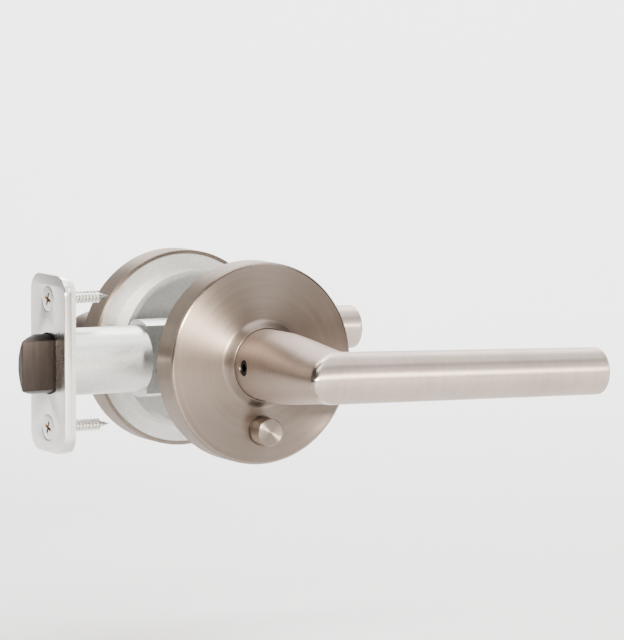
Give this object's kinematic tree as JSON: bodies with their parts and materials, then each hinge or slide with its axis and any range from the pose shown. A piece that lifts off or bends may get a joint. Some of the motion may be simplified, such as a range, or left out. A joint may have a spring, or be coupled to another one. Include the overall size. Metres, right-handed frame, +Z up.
{
  "type": "door lever handle",
  "caption": "Privacy door lever set: straight round levers on round roses, push button, square spindle and tubular spring latch with a bevelled bolt.",
  "frame": {"origin": "on the spindle axis, on the interior face of the door, where the interior rose sits", "axes": "+Y through the door to the exterior, +X along the levers, -X to the latch, +Z up"},
  "size_m": [0.1697, 0.1742, 0.065],
  "materials": {
    "satin_nickel": "satin nickel plate, turned and brushed",
    "bright_plate": "fine brushed nickel plate",
    "dark_bolt": "dark satin",
    "screw_steel": "plated",
    "black_screw": "black oxide",
    "bronze": "sintered bronze",
    "spring_steel": "drawn spring wire",
    "plated_steel": "zinc plated"
  },
  "bodies": {
    "trim": {"interior_rose": "satin_nickel", "exterior_rose": "satin_nickel", "interior_chassis": "plated_steel", "exterior_chassis": "plated_steel", "interior_bush": "bronze", "exterior_bush": "bronze", "interior_thrust_washer": "spring_steel", "exterior_thrust_washer": "spring_steel", "interior_return_spring": "spring_steel", "exterior_return_spring": "spring_steel", "through_bolts": "plated_steel", "faceplate": "bright_plate", "faceplate_screws": "screw_steel", "latch_case": "plated_steel", "spring_seat": "plated_steel", "bolt_spring": "spring_steel", "button_spring": "spring_steel"},
    "levers": {"interior_lever": "satin_nickel", "exterior_lever": "satin_nickel", "interior_sleeve": "plated_steel", "exterior_sleeve": "plated_steel", "interior_driver": "plated_steel", "exterior_driver": "plated_steel", "interior_retaining_ring": "spring_steel", "exterior_retaining_ring": "spring_steel", "interior_set_screw": "black_screw", "exterior_set_screw": "black_screw", "spindle": "plated_steel", "latch_hub": "plated_steel"},
    "latch_slide": {"latch_bolt": "dark_bolt", "bolt_pin": "plated_steel", "retractor": "plated_steel"},
    "button_slide": {"privacy_button": "satin_nickel", "lock_rod": "plated_steel", "lock_dog": "plated_steel", "rod_clip": "spring_steel"}
  },
  "joints": [
    {"name": "lever_turn", "type": "hinge", "parent": "trim", "child": "levers", "pos_m": [0, 0, 0], "axis": [0, 1, 0], "range_deg": [0, 60], "stiffness_Nm_per_rad": 0.6, "springref_deg": -57.3, "deforming": ["interior_return_spring", "exterior_return_spring"]},
    {"name": "latch_retract", "type": "slide", "parent": "trim", "child": "latch_slide", "axis": [1, 0, 0], "range_m": [0, 0.0112], "stiffness_N_per_m": 250, "springref_m": -0.02, "deforming": ["bolt_spring"]},
    {"name": "button_press", "type": "slide", "parent": "trim", "child": "button_slide", "axis": [0, 1, 0], "range_m": [0, 0.005], "stiffness_N_per_m": 600, "springref_m": -0.004, "deforming": ["button_spring"]}
  ],
  "couplings": [
    {"joint": "latch_retract", "follows": "lever_turn", "m_per_rad": 0.010635}
  ]
}
